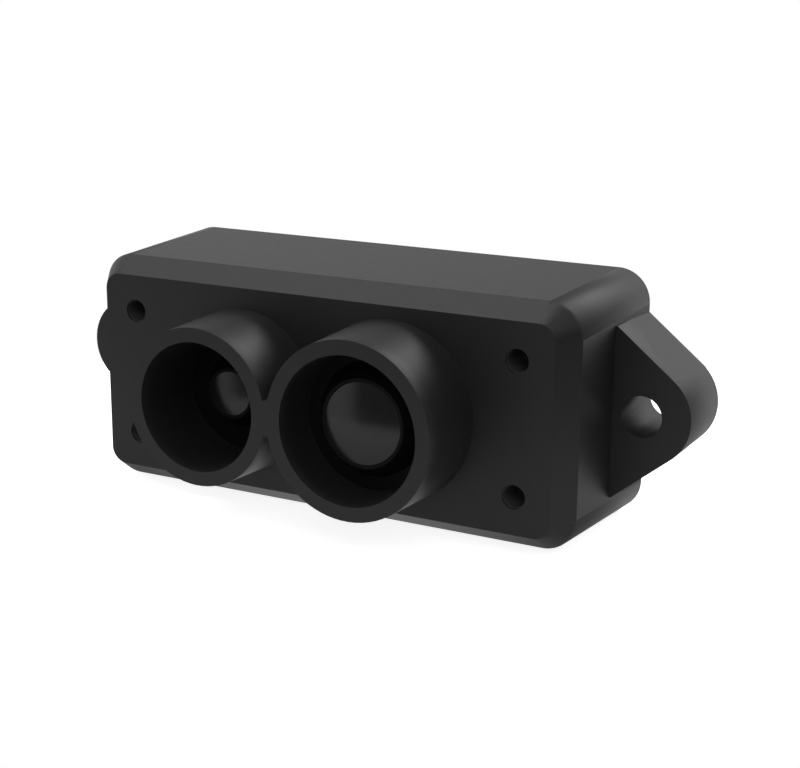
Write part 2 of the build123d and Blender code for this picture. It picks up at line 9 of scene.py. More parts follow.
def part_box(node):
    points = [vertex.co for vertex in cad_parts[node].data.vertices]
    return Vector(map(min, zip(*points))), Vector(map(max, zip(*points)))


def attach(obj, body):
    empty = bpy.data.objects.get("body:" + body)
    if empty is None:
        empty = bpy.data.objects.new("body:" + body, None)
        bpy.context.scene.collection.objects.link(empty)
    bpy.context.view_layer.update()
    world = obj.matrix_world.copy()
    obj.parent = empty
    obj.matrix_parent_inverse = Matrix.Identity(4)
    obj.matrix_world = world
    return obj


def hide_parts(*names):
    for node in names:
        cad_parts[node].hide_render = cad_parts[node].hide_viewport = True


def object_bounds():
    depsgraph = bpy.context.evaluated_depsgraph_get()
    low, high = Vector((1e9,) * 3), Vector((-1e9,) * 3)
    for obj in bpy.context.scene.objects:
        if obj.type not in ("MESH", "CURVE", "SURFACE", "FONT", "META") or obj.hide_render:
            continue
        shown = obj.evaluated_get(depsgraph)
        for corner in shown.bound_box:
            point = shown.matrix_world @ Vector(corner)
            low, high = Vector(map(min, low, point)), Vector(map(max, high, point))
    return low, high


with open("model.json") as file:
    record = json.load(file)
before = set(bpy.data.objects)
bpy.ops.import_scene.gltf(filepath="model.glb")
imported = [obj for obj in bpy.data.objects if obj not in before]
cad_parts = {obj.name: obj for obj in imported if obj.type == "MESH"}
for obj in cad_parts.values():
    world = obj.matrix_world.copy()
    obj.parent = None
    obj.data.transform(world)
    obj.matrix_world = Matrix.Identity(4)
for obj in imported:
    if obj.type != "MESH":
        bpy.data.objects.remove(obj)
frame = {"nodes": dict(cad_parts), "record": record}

# A compact lidar distance sensor in black moulded plastic. Lengths are millimetres of the frame: +X
# from the emitter to the receiver, -Y the way the lenses look, +Z up. Angles are degrees. A station is a
# distance forward of the rear plane. The sides of something are its low x, high x, low z and high z.
MM = 0.001
nodes = frame["nodes"]
cad_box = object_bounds()
board_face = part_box("main_board")[1].y / MM

# Camera, aimed so that the sensor lies in the picture as it does in the photograph
CAMERA_PLACE = (46.7295, -87.6041, 24.5598)
CAMERA_AIM = (5.688, -11.0, 1.680)
CAMERA_ROLL = 0.474
CAMERA_LENS = 71.03
CAMERA_CLIP_START = 1.0

# Floor: a pale disc, lifted to white where it is seen directly. Near the sensor it is also lifted where
# it is seen mirrored, less and less over the reach, as the photograph shows under the hoods.
FLOOR_RADIUS = 38.5
FLOOR_CORNERS = 96
FLOOR_ALBEDO = 0.8
FLOOR_LIFT_SEEN = 0.85
FLOOR_LIFT_MIRRORED = 0.88
FLOOR_LIFT_REACH = (10.0, 24.0)

# Dome: an even level with soft lights in it. Each has a compass angle from straight ahead of the lenses
# towards +X, a height angle, a spread and a strength. The softbox is one more, cut off at an upright edge
# whose image lies across the lenses.
DOME_LEVEL = 0.15
SOFT_LIGHTS = (
    (-120, 15, 50, 0.5),
    (-90, 72, 28, 2.7),
    (25, 40, 35, 1.5),
    (95, 35, 20, 0.8),
    (150, 35, 25, 2.4),
    (165, 48, 18, 4.0),
)
SOFTBOX = (-62, 10, 62, 0.61)
SOFTBOX_EDGE = -32.0
SOFTBOX_EDGE_BLUR = (-0.02, 0.03)

# Backdrop: white behind the sensor, where it is seen mirrored. It fades in towards the rear and out
# towards the top, each over a range of that part of a unit direction.
BACKDROP_WHITE = 1.0
BACKDROP_REAR_FADE = (0.5, 0.9)
BACKDROP_TOP_FADE = (0.15, 0.42)

# Turned forms, each corner a distance from its axis and a station: a near-black sheet on the floor of
# each hood's bore, painted shade for the dimness deep in it, each lens from its rim to its rear, and a
# paler lining in each small front hole, painted light for the light reflected into it
TURN_SEGMENTS = 128
SHADE_SHEET_DEPTH = 0.02
BORE_SHADE_SHEETS = {
    "receiver_lens": ((4.17, 13.02), (3.37, 13.02), (2.61, 14.12), (2.45, 14.12)),
    "emitter_lens": ((3.64, 11.22), (2.32, 11.22), (1.55, 12.42), (1.395, 12.42)),
}
LENSES = {
    "receiver_lens": ((2.39, 14.1), (2.39, 12.0), (3.9, 12.0), (3.9, 11.1)),
    "emitter_lens": ((1.335, 12.4), (1.335, 10.2), (2.9, 10.2), (2.9, 9.4)),
}
DOME_RISES = {"receiver_lens": 0.18, "emitter_lens": 0.045}
DOME_RINGS = 24
HOLE_WALL = ((0.7, 10.88), (0.7, 7.0), (0.68, 7.0), (0.68, 10.88))
HOLE_SEGMENTS = 64

# The board's screws, each on the axis of a small front hole
BOARD_SCREWS = ("board_screw_1", "board_screw_2", "board_screw_3", "board_screw_4")

# Heights of the thin shapes on the board's rear face, and how deep all of them are sunk into it
COPPER_HEIGHT = 0.03
RING_HEIGHT = 0.04
PAD_HEIGHT = 0.035
INK_HEIGHT = 0.02
SINK = 0.01

# Corners of the outline of a round mark or pad
MARK_CORNERS = 32

# Solder at the feet of each node on the board: how far it spreads past a foot and how high it climbs
SOLDER = {
    "processor_leads": (0.07, 0.09),
    "driver_leads": (0.14, 0.1),
    "regulator_leads": (0.14, 0.1),
    "chip_terminals": (0.2, 0.3),
    "supply_capacitor_tabs": (0.3, 0.5),
    "socket_contacts": (0.12, 0.2),
    "socket_anchor_tabs": (0.22, 0.14),
}
SOLDER_TOP_SPREAD = 0.02

# Copper tracks under the solder mask, each a width and a run of places (x, z) on the board
TRACKS = (
    (0.5, ((9.4, -3.4), (10.4, -3.4), (11.3, -2.5), (12.2, -2.1))),
    (0.5, ((12.6, 2.0), (12.0, 2.6), (11.2, 2.6))),
    (0.5, ((7.2, -1.2), (7.2, -0.5), (7.9, 0.2))),
    (0.5, ((4.9, -2.8), (4.2, -1.6), (4.2, -0.4), (3.8, -0.3))),
    (0.35, ((3.1, 1.1), (3.6, 1.6), (3.6, 2.6), (2.9, 2.7))),
    (0.35, ((1.9, 4.8), (1.9, 5.3), (0.3, 5.3), (0.0, 4.9))),
    (0.2, ((-1.875, -0.2), (-1.875, 0.5), (-2.2, 0.9))),
    (0.2, ((-0.625, -0.2), (-0.625, 0.6), (-0.9, 1.2))),
    (0.2, ((0.625, -0.2), (0.625, 0.3), (-0.2, 0.6), (-0.2, 2.2), (-0.6, 2.7))),
    (0.2, ((1.875, -0.2), (1.875, 0.3), (2.6, 0.2))),
    (0.2, ((-2.6, 1.4), (-2.2, 1.4))),
    (0.2, ((-4.0, 1.4), (-4.6, 0.8))),
    (0.2, ((-4.0, -0.3), (-4.6, -0.3))),
    (0.2, ((-2.8, -0.3), (-2.4, 0.4), (-2.4, 0.9))),
    (0.2, ((-1.6, 3.4), (-1.2, 3.2))),
    (0.2, ((-1.6, 4.6), (-1.2, 4.8))),
    (0.2, ((6.2, 4.6), (5.4, 5.2), (4.0, 5.2))),
    (0.2, ((6.0, 0.9), (5.2, 0.9), (4.4, 1.7), (4.4, 3.6), (3.6, 4.4))),
    (0.2, ((-9.6, -5.3), (-10.4, -5.3), (-11.0, -4.7))),
    (0.2, ((-6.6, 5.3), (-5.6, 5.3), (-5.2, 4.9))),
)

# Tracks from the processor's leads to vias: straight out, then off at 45 degrees. Each takes the next
# length of both runs.
FAN_WIDTH = 0.16
FAN_STRAIGHT_RUNS = (0.45, 0.73, 1.01)
FAN_SLANTED_RUNS = (0.16, 0.23)

# Bare metal on the board: rings, each an outer and an inner radius, and round marks and pads at places
VIA_RING = (0.2, 0.09)
VIA_CORNERS = 20
SCREW_RING = (1.6, 0.95)
SCREW_RING_CORNERS = 64
FIDUCIALS = ((-14.1, -1.7), (14.2, -1.6))
FIDUCIAL_RADIUS = 0.25
TEST_PADS = ((-13.9, 1.3), (-13.9, 0.0), (4.9, 4.9), (10.9, -4.9))
TEST_PAD_RADIUS = 0.4

# White lines printed on the board: boxes round nodes, each with its gap, marks at the corners of nodes,
# and a dash above and below each small chip
PRINTED_LINE = 0.13
PRINTED_BOXES = (("crystal_can", 0.3), ("supply_capacitor", 0.42))
PRINTED_CORNERS = ("processor_chip", "driver_chip", "power_inductor", "voltage_regulator")
CORNER_GAP = 0.25
CORNER_LENGTH = 0.5
PRINTED_DASHES = ("ceramic_capacitors", "chip_resistors")
DASH_LENGTH = 1.5
DASH_OFFSET = 0.66

# Moulded dot beside the first lead of each large chip
DOTTED_CHIPS = ("processor_chip", "driver_chip")
DOT_RADIUS = 0.22
DOT_INSET = 0.7
DOT_HEIGHT = 0.006

# How near two corners of a node's mesh are when they are one, and a foot to the board it stands on
WELD = 0.002
BOARD_TOUCH = 0.02

# Angle between two faces from which the edge of a turned form is sharp
SHARP_FROM = 30.0

# Angle between two faces from which the edge of a node is rounded, and the radius for each node
ROUND_FROM = 35.0
EDGE_SEGMENTS = 2
EDGE_ROUNDING = {
    "housing": 0.1,
    "cable_socket": 0.08,
    "power_inductor": 0.15,
    "supply_capacitor": 0.08,
    "crystal_can": 0.08,
    "processor_chip": 0.05,
    "driver_chip": 0.05,
    "voltage_regulator": 0.05,
    **dict.fromkeys(BOARD_SCREWS, 0.2),
}

# Range that most of a noise lies in
NOISE_CORE = (0.3, 0.7)

# Places of the colour sockets on Blender's mix node
MIX_COLORS = (6, 7)
MIX_RESULT = 2


class Graph:
    """A node tree, with short ways to add nodes to it."""

    def __init__(self, tree):
        self.tree = tree

    def add(self, kind, **settings):
        node = self.tree.nodes.new(kind)
        for setting, value in settings.items():
            setattr(node, setting, value)
        return node

    def feed(self, node, socket, value):
        """Links a socket's input to an output, or sets it to a plain value."""
        if isinstance(value, bpy.types.NodeSocket):
            self.tree.links.new(value, node.inputs[socket])
        else:
            node.inputs[socket].default_value = value

    def calc(self, operation, first, second=0.0, **settings):
        node = self.add("ShaderNodeMath", operation=operation, **settings)
        self.feed(node, 0, first)
        self.feed(node, 1, second)
        return node.outputs[0]

    def remap(self, value, from_low, from_high, to_low, to_high, **settings):
        node = self.add("ShaderNodeMapRange", **settings)
        self.feed(node, "Value", value)
        self.feed(node, "From Min", from_low)
        self.feed(node, "From Max", from_high)
        self.feed(node, "To Min", to_low)
        self.feed(node, "To Max", to_high)
        return node.outputs["Result"]

    def ease(self, value, from_low, from_high, to_low, to_high):
        """As remap, but gently into and out of the range."""
        return self.remap(value, from_low, from_high, to_low, to_high, interpolation_type="SMOOTHSTEP")

    def mirrored(self, paths):
        """1 for what a glossy or a clear surface shows, otherwise 0."""
        glossy, clear = paths.outputs["Is Glossy Ray"], paths.outputs["Is Transmission Ray"]
        return self.calc("ADD", glossy, clear, use_clamp=True)


class Shading(Graph):
    """The node tree of a material with one principled shader."""

    def __init__(self, name, color, roughness, **sockets):
        self.material = bpy.data.materials.new(name)
        self.material.use_nodes = True
        super().__init__(self.material.node_tree)
        self.shader = self.tree.nodes["Principled BSDF"]
        self.shader.inputs["Base Color"].default_value = (*color, 1)
        self.shader.inputs["Roughness"].default_value = roughness
        for socket, value in sockets.items():
            self.shader.inputs[socket.replace("_", " ")].default_value = value
        self.place = self.add("ShaderNodeTexCoord").outputs["Object"]

    def noise(self, feature, detail=2.0, stretch=(1, 1, 1)):
        """Noise from 0 to 1 whose blobs are about one feature wide."""
        mapping = self.add("ShaderNodeMapping")
        mapping.inputs["Scale"].default_value = stretch
        self.feed(mapping, "Vector", self.place)
        noise = self.add("ShaderNodeTexNoise")
        self.feed(noise, "Vector", mapping.outputs["Vector"])
        noise.inputs["Scale"].default_value = 1 / (feature * MM)
        noise.inputs["Detail"].default_value = detail
        return noise.outputs["Fac"]

    def blend(self, factor, first, second):
        """Colour between two colours, each a tuple or another node's output."""
        node = self.add("ShaderNodeMix", data_type="RGBA")
        self.feed(node, "Factor", factor)
        for socket, color in zip(MIX_COLORS, (first, second)):
            self.feed(node, socket, color if isinstance(color, bpy.types.NodeSocket) else (*color, 1))
        return node.outputs[MIX_RESULT]

    def color(self, value):
        self.feed(self.shader, "Base Color", value)

    def bump(self, height, depth, strength):
        node = self.add("ShaderNodeBump")
        self.feed(node, "Height", height)
        node.inputs["Distance"].default_value = depth * MM
        node.inputs["Strength"].default_value = strength
        self.feed(self.shader, "Normal", node.outputs["Normal"])

    def mottle(self, feature, first, second, **noise):
        """Colour that drifts between two colours in blobs about one feature wide."""
        self.color(self.blend(self.noise(feature, **noise), first, second))

    def wear(self, feature, low, high, **noise):
        """Roughness that drifts between two values in blobs about one feature wide."""
        roughness = self.remap(self.noise(feature, **noise), *NOISE_CORE, low, high)
        self.feed(self.shader, "Roughness", roughness)

    def grain(self, feature, depth, strength, **noise):
        """Low bumps all over, each about one feature wide."""
        self.bump(self.noise(feature, **noise), depth, strength)


class Sky(Graph):
    """The node tree of the world, which gives each direction its light."""

    def __init__(self, tree):
        super().__init__(tree)
        self.tree.nodes.clear()
        self.direction = self.add("ShaderNodeTexCoord").outputs["Generated"]

    def along(self, compass, height):
        """How far the direction points towards a place on the dome."""
        compass, height = math.radians(compass), math.radians(height)
        level = math.cos(height)
        facing = self.add("ShaderNodeVectorMath", operation="DOT_PRODUCT")
        self.feed(facing, 0, self.direction)
        self.feed(facing, 1, (level * math.sin(compass), -level * math.cos(compass), math.sin(height)))
        return facing.outputs["Value"]

    def soft_light(self, compass, height, spread, strength):
        edge = math.cos(math.radians(spread))
        return self.ease(self.along(compass, height), edge, 1.0, 0.0, strength)


def housing_plastic():
    """Black moulded plastic with the fine pitting of a spark-eroded mould."""
    look = Shading("housing_plastic", (0.0135, 0.0135, 0.014), 0.46, IOR=1.5, Specular_IOR_Level=0.38)
    look.mottle(1.6, (0.0125, 0.0125, 0.0129), (0.0145, 0.0145, 0.015), detail=3.0)
    look.wear(0.5, 0.452, 0.468)
    look.grain(0.07, 0.003, 0.25, detail=1.0)
    return look.material


def hole_painted_light():
    """Paler grey plastic lining the small front holes: painted light standing in for light reflected into
    them.
    """
    look = Shading("hole_painted_light", (0.06, 0.06, 0.062), 0.35)
    look.grain(0.12, 0.004, 0.3)
    return look.material


def lens_plastic():
    """Moulded optical plastic, black to the eye and clear to infrared, with a satin skin."""
    look = Shading("lens_plastic", (0.006, 0.006, 0.0063), 0.16, IOR=1.49)
    look.wear(0.9, 0.14, 0.18)
    return look.material


def holder_plastic():
    """Matte black plastic that takes up stray light."""
    look = Shading("holder_plastic", (0.02, 0.02, 0.02), 0.75)
    look.grain(0.15, 0.01, 0.5)
    return look.material


def filter_glass():
    """Coated filter glass with a faint change of hue across it."""
    look = Shading("filter_glass", (0.25, 0.05, 0.09), 0.05, Transmission_Weight=0.6, IOR=1.52)
    look.mottle(1.5, (0.3, 0.05, 0.08), (0.14, 0.06, 0.16))
    return look.material


def sensor_package():
    """Dark grey moulding compound."""
    look = Shading("sensor_package", (0.1, 0.1, 0.11), 0.4)
    look.mottle(0.4, (0.09, 0.09, 0.1), (0.12, 0.12, 0.13))
    look.grain(0.08, 0.004, 0.3)
    return look.material


def diode_package():
    """Off-white fired ceramic."""
    look = Shading("diode_package", (0.75, 0.74, 0.7), 0.35)
    look.mottle(0.3, (0.72, 0.7, 0.66), (0.8, 0.79, 0.75))
    return look.material


def seal_foam():
    """Closed-cell foam with small open pores on its cut faces."""
    pore = 0.18
    look = Shading("seal_foam", (0.03, 0.03, 0.03), 0.9)
    cells = look.add("ShaderNodeTexVoronoi")
    look.feed(cells, "Vector", look.place)
    cells.inputs["Scale"].default_value = 1 / (pore * MM)
    look.bump(cells.outputs["Distance"], 0.06, 0.8)
    return look.material


def board_laminate():
    """Green solder mask with a faint weave of glass cloth under it."""
    thread, weave_share, mottle_range = 0.45, 0.5, (0.2, 1.3)
    look = Shading("board_laminate", (0.012, 0.09, 0.045), 0.3, Coat_Weight=0.4, Coat_Roughness=0.12)
    weave = look.add("ShaderNodeTexChecker")
    look.feed(weave, "Vector", look.place)
    weave.inputs["Scale"].default_value = 1 / (thread * MM)
    cloth = look.calc("MULTIPLY", weave.outputs["Fac"], weave_share)
    mottle = look.remap(look.calc("ADD", cloth, look.noise(0.8)), *mottle_range, 0, 1)
    look.color(look.blend(mottle, (0.010, 0.078, 0.038), (0.014, 0.1, 0.05)))
    look.grain(0.25, 0.004, 0.3)
    return look.material


def screw_steel():
    """Bright zinc plating with faint turning marks."""
    look = Shading("screw_steel", (0.62, 0.63, 0.65), 0.3, Metallic=1.0)
    look.wear(0.25, 0.24, 0.42, detail=3.0)
    look.mottle(0.5, (0.56, 0.57, 0.6), (0.68, 0.68, 0.69))
    look.grain(0.12, 0.004, 0.4)
    return look.material


def socket_plastic():
    """Natural nylon, slightly see-through at its thin walls."""
    depth_of_light = 0.4
    look = Shading("socket_plastic", (0.74, 0.7, 0.6), 0.42, Subsurface_Weight=0.15)
    look.shader.inputs["Subsurface Scale"].default_value = depth_of_light * MM
    look.mottle(1.2, (0.7, 0.66, 0.55), (0.77, 0.73, 0.63))
    look.grain(0.15, 0.004, 0.3)
    return look.material


def contact_metal():
    """Gold-coloured plating."""
    look = Shading("contact_metal", (0.78, 0.6, 0.26), 0.25, Metallic=1.0)
    look.wear(0.2, 0.2, 0.34)
    look.mottle(0.3, (0.72, 0.54, 0.22), (0.82, 0.65, 0.3))
    return look.material


def lead_metal():
    """Dull tin over copper."""
    look = Shading("lead_metal", (0.66, 0.66, 0.64), 0.38, Metallic=1.0)
    look.wear(0.18, 0.3, 0.48)
    look.mottle(0.25, (0.6, 0.6, 0.58), (0.7, 0.7, 0.68))
    look.grain(0.1, 0.003, 0.4)
    return look.material


def chip_epoxy():
    """Black moulding compound with a fine matte grain."""
    look = Shading("chip_epoxy", (0.02, 0.02, 0.021), 0.55)
    look.mottle(0.2, (0.016, 0.016, 0.017), (0.026, 0.026, 0.027), detail=3.0)
    look.grain(0.06, 0.004, 0.5)
    return look.material


def inductor_ferrite():
    """Grey sintered ferrite, a little rough."""
    look = Shading("inductor_ferrite", (0.08, 0.08, 0.085), 0.6)
    look.mottle(0.25, (0.06, 0.06, 0.065), (0.11, 0.11, 0.115), detail=3.0)
    look.grain(0.12, 0.01, 0.5, detail=3.0)
    return look.material


def tank_epoxy():
    """Yellow moulding compound with a brown band at its positive end."""
    band_share = 0.2
    look = Shading("tank_epoxy", (0.7, 0.42, 0.08), 0.45)
    low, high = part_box("supply_capacitor")
    separate = look.add("ShaderNodeSeparateXYZ")
    look.feed(separate, "Vector", look.place)
    band_edge = high.z - band_share * (high.z - low.z)
    on_band = look.calc("GREATER_THAN", separate.outputs["Z"], band_edge)
    body = look.blend(look.noise(0.4), (0.66, 0.38, 0.07), (0.75, 0.46, 0.1))
    look.color(look.blend(on_band, body, (0.22, 0.07, 0.02)))
    look.grain(0.08, 0.004, 0.3)
    return look.material


def crystal_metal():
    """Nickel-plated lid, brushed along its length."""
    brushed = (1, 1, 8)
    look = Shading("crystal_metal", (0.64, 0.62, 0.58), 0.34, Metallic=1.0)
    look.wear(0.3, 0.26, 0.44, stretch=brushed)
    look.grain(0.2, 0.003, 0.3, stretch=brushed)
    return look.material


def capacitor_ceramic():
    """Tan fired ceramic."""
    look = Shading("capacitor_ceramic", (0.42, 0.28, 0.16), 0.5)
    look.mottle(0.2, (0.38, 0.25, 0.14), (0.47, 0.32, 0.19))
    look.grain(0.1, 0.005, 0.4)
    return look.material


def resistor_glaze():
    """Black glaze."""
    look = Shading("resistor_glaze", (0.015, 0.015, 0.018), 0.2)
    look.wear(0.2, 0.15, 0.28)
    return look.material


def bore_painted_shade():
    """Near-black matt sheet on the bore floors: painted shade standing in for the dimness deep in the
    bores.
    """
    look = Shading("bore_painted_shade", (0.004, 0.004, 0.0042), 0.6, Specular_IOR_Level=0.12)
    look.wear(0.4, 0.55, 0.65)
    look.grain(0.06, 0.004, 0.4, detail=1.0)
    return look.material


def chip_dot():
    """Smoother, slightly shiny mould mark beside a chip's first lead."""
    look = Shading("chip_dot", (0.05, 0.05, 0.052), 0.3)
    look.wear(0.15, 0.25, 0.38)
    return look.material


def masked_copper():
    """Solder mask over copper, paler than over bare laminate."""
    look = Shading("masked_copper", (0.02, 0.14, 0.065), 0.28, Coat_Weight=0.4, Coat_Roughness=0.12)
    look.mottle(0.8, (0.017, 0.125, 0.058), (0.024, 0.155, 0.075))
    look.grain(0.25, 0.004, 0.3)
    return look.material


def printing_ink():
    """White legend ink, thin enough to let a little green through."""
    look = Shading("printing_ink", (0.72, 0.74, 0.7), 0.55)
    look.mottle(0.12, (0.62, 0.66, 0.6), (0.78, 0.79, 0.76), detail=3.0)
    return look.material


MATERIALS = {
    maker.__name__: maker()
    for maker in (
        housing_plastic,
        lens_plastic,
        holder_plastic,
        filter_glass,
        sensor_package,
        diode_package,
        seal_foam,
        board_laminate,
        screw_steel,
        socket_plastic,
        contact_metal,
        lead_metal,
        chip_epoxy,
        inductor_ferrite,
        tank_epoxy,
        crystal_metal,
        capacitor_ceramic,
        resistor_glaze,
        bore_painted_shade,
        hole_painted_light,
        chip_dot,
        masked_copper,
        printing_ink,
    )
}


def finish_nodes():
    """Each CAD node takes the material of its slot in the record."""
    for subpart in frame["record"]["subparts"]:
        node = nodes[subpart["node"]]
        for slot in node.material_slots:
            slot.material = MATERIALS[subpart["material_slot"]]


def round_edges():
    """Slightly rounded edges, as moulding and forming leave them."""
    for name, radius in EDGE_ROUNDING.items():
        weld = nodes[name].modifiers.new("weld", "WELD")
        weld.merge_threshold = WELD * MM
        bevel = nodes[name].modifiers.new("round", "BEVEL")
        bevel.width = radius * MM
        bevel.segments = EDGE_SEGMENTS
        bevel.limit_method = "ANGLE"
        bevel.angle_limit = math.radians(ROUND_FROM)


def sides_of(name):
    """The sides of a node."""
    low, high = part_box(name)
    return low.x / MM, high.x / MM, low.z / MM, high.z / MM


def middle(sides):
    low_x, high_x, low_z, high_z = sides
    return (low_x + high_x) / 2, (low_z + high_z) / 2


def rectangle(sides, grow):
    """Outline of a rectangle that reaches past its sides by some distance."""
    low_x, high_x, low_z, high_z = sides
    low_x, high_x, low_z, high_z = low_x - grow, high_x + grow, low_z - grow, high_z + grow
    return [(low_x, low_z), (high_x, low_z), (high_x, high_z), (low_x, high_z)]


def circle(center, radius, corners=MARK_CORNERS):
    turns = [2 * math.pi * index / corners for index in range(corners)]
    return [(center[0] + radius * math.cos(turn), center[1] + radius * math.sin(turn)) for turn in turns]


def ribbon(places, width):
    """Outline of a strip of even width along a run of places."""
    points = [Vector(place) for place in places]
    steps = [(after - before).normalized() for before, after in zip(points, points[1:])]
    left, right = [], []
    for index, point in enumerate(points):
        before, after = steps[max(index - 1, 0)], steps[min(index, len(steps) - 1)]
        side = Vector((-before.y - after.y, before.x + after.x)).normalized()
        reach = width / 2 / side.dot(Vector((-after.y, after.x)))
        left.append(tuple(point + side * reach))
        right.append(tuple(point - side * reach))
    return left + right[::-1]


def band(mesh, first, second):
    """Joins two closed rows of corners with a strip of faces. Either row may be one corner, repeated."""
    count = len(first)
    for index in range(count):
        after = (index + 1) % count
        corners = (first[index], first[after], second[after], second[index])
        mesh.faces.new(list(dict.fromkeys(corners)))


def smooth_faces(mesh):
    """Smooth shading that stops at the sharp edges."""
    for face in mesh.faces:
        face.smooth = True
    for edge in mesh.edges:
        edge.smooth = edge.calc_face_angle() <= math.radians(SHARP_FROM)


def add_piece(name, mesh, material, smooth=False):
    """Puts a finished bmesh into the scene as a piece of the sensor."""
    bmesh.ops.recalc_face_normals(mesh, faces=mesh.faces)
    if smooth:
        smooth_faces(mesh)
    data = bpy.data.meshes.new(name)
    mesh.to_mesh(data)
    mesh.free()
    data.materials.append(MATERIALS[material])
    piece = bpy.data.objects.new(name, data)
    bpy.context.scene.collection.objects.link(piece)
    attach(piece, "root")
    return piece


def turned(name, axis, profile, material, segments=TURN_SEGMENTS):
    """Closed form turned round an axis to the front; a corner on the axis becomes one point."""
    mesh = bmesh.new()
    rows = []
    for radius, station in profile:
        corners = circle(axis, radius, segments if radius else 1)
        row = [mesh.verts.new(Vector((x, -station, z)) * MM) for x, z in corners]
        rows.append(row if radius else row * segments)
    for row, following in zip(rows, rows[1:] + rows[:1]):
        both_are_points = row[0] is row[1] and following[0] is following[1]
        if not both_are_points:
            band(mesh, row, following)
    return add_piece(name, mesh, material, smooth=True)


def paint_bore_shade():
    """Thin near-black sheet on the bore floors, painted shade for the dimness deep in the bores."""
    for lens, profile in BORE_SHADE_SHEETS.items():
        name, axis = lens.replace("lens", "bore_shade_sheet"), middle(sides_of(lens))
        skin = [(radius - SHADE_SHEET_DEPTH, station + SHADE_SHEET_DEPTH) for radius, station in reversed(profile)]
        turned(name, axis, (*profile, *skin), "bore_painted_shade")


def paint_hole_light():
    """Paler linings of the four small front holes, painted light for the light reflected into them, one
    for each board screw on the same axis.
    """
    for number, screw in enumerate(BOARD_SCREWS, 1):
        name, axis = f"hole_wall_{number}", middle(sides_of(screw))
        turned(name, axis, HOLE_WALL, "hole_painted_light", HOLE_SEGMENTS)


def turn_lenses():
    """The lenses again, with a finer and slightly flatter dome than the CAD mesh has."""
    for lens, rim in LENSES.items():
        name, axis = lens.replace("lens", "optic"), middle(sides_of(lens))
        radius, foot = rim[0]
        rise = DOME_RISES[lens]
        crown = (radius**2 + rise**2) / (2 * rise)
        sweep = math.asin(radius / crown)
        turns = [sweep * ring / DOME_RINGS for ring in range(DOME_RINGS)]
        dome = [(crown * math.sin(turn), foot + rise - crown * (1 - math.cos(turn))) for turn in turns]
        rear_middle = (0, rim[-1][1])
        piece = turned(name, axis, (*dome, *rim, rear_middle), "lens_plastic")
        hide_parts(lens)


class Relief:
    """Low raised shapes on the board's rear face, in one mesh. Outlines are places (x, z)."""

    def __init__(self):
        self.mesh = bmesh.new()

    def row(self, outline, height):
        """Corners of an outline at a height above the board."""
        return [self.mesh.verts.new(Vector((x, board_face + height, z)) * MM) for x, z in outline]

    def plate(self, outline, height, foot=None):
        """A closed plate; foot is a wider outline at the board, for sloping sides."""
        top = self.row(outline, height)
        bottom = self.row(foot or outline, -SINK)
        self.mesh.faces.new(top)
        self.mesh.faces.new(bottom)
        band(self.mesh, bottom, top)

    def ring(self, outer, inner, height):
        outer_top, inner_top = self.row(outer, height), self.row(inner, height)
        outer_bottom, inner_bottom = self.row(outer, -SINK), self.row(inner, -SINK)
        band(self.mesh, outer_top, inner_top)
        band(self.mesh, outer_bottom, inner_bottom)
        band(self.mesh, outer_bottom, outer_top)
        band(self.mesh, inner_bottom, inner_top)

    def round_ring(self, center, radii, corners):
        outer, inner = (circle(center, radius, corners) for radius in radii)
        self.ring(outer, inner, RING_HEIGHT)

    def printed_line(self, places):
        self.plate(ribbon(places, PRINTED_LINE), INK_HEIGHT)

    def add(self, name, material, slot):
        add_piece(name, self.mesh, material)


def islands(name):
    """Corner points of each separate solid of a CAD node."""
    mesh = nodes[name].data
    keys = [tuple(round(value / (MM * WELD)) for value in vertex.co) for vertex in mesh.vertices]
    group = {key: key for key in keys}

    def head(key):
        """The corner that stands for all the corners joined to this one."""
        while group[key] != key:
            key = group[key]
        return key

    for polygon in mesh.polygons:
        first, *others = polygon.vertices
        for other in others:
            group[head(keys[other])] = head(keys[first])
    solids = {}
    for key, vertex in zip(keys, mesh.vertices):
        solids.setdefault(head(key), []).append(vertex.co / MM)
    return list(solids.values())


def footprints(name):
    """The sides of each place where a solid of a node stands on the board."""
    feet = []
    for corners in islands(name):
        on_board = [corner for corner in corners if abs(corner.y - board_face) < BOARD_TOUCH]
        xs = [corner.x for corner in on_board]
        zs = [corner.z for corner in on_board]
        feet.append((min(xs), max(xs), min(zs), max(zs)))
    return feet


def fan_out():
    """Short tracks from the processor's leads outwards, each turning off to a via."""
    center = Vector(middle(sides_of("processor_chip")))
    tracks = []
    for index, foot in enumerate(sorted(footprints("processor_leads"))):
        start = Vector(middle(foot))
        away = start - center
        out, along = Vector((math.copysign(1, away.x), 0)), Vector((0, math.copysign(1, away.y)))
        if abs(away.y) >= abs(away.x):
            out, along = along, out
        turn = start + out * FAN_STRAIGHT_RUNS[index % len(FAN_STRAIGHT_RUNS)]
        end = turn + (out + along) * FAN_SLANTED_RUNS[index % len(FAN_SLANTED_RUNS)]
        tracks.append((start, turn, end))
    return tracks


def add_solder():
    """Solder climbing the feet of the parts on the board."""
    solder = Relief()
    for name, (spread, height) in SOLDER.items():
        for foot in footprints(name):
            solder.plate(rectangle(foot, SOLDER_TOP_SPREAD), height, rectangle(foot, spread))
    solder.add("solder_joints", "lead_metal", "lead_metal")


def add_tracks(fan):
    """Copper tracks under the solder mask."""
    tracks = Relief()
    for width, run in TRACKS:
        tracks.plate(ribbon(run, width), COPPER_HEIGHT)
    for run in fan:
        tracks.plate(ribbon(run, FAN_WIDTH), COPPER_HEIGHT)
    tracks.add("board_tracks", "masked_copper", "board_laminate")


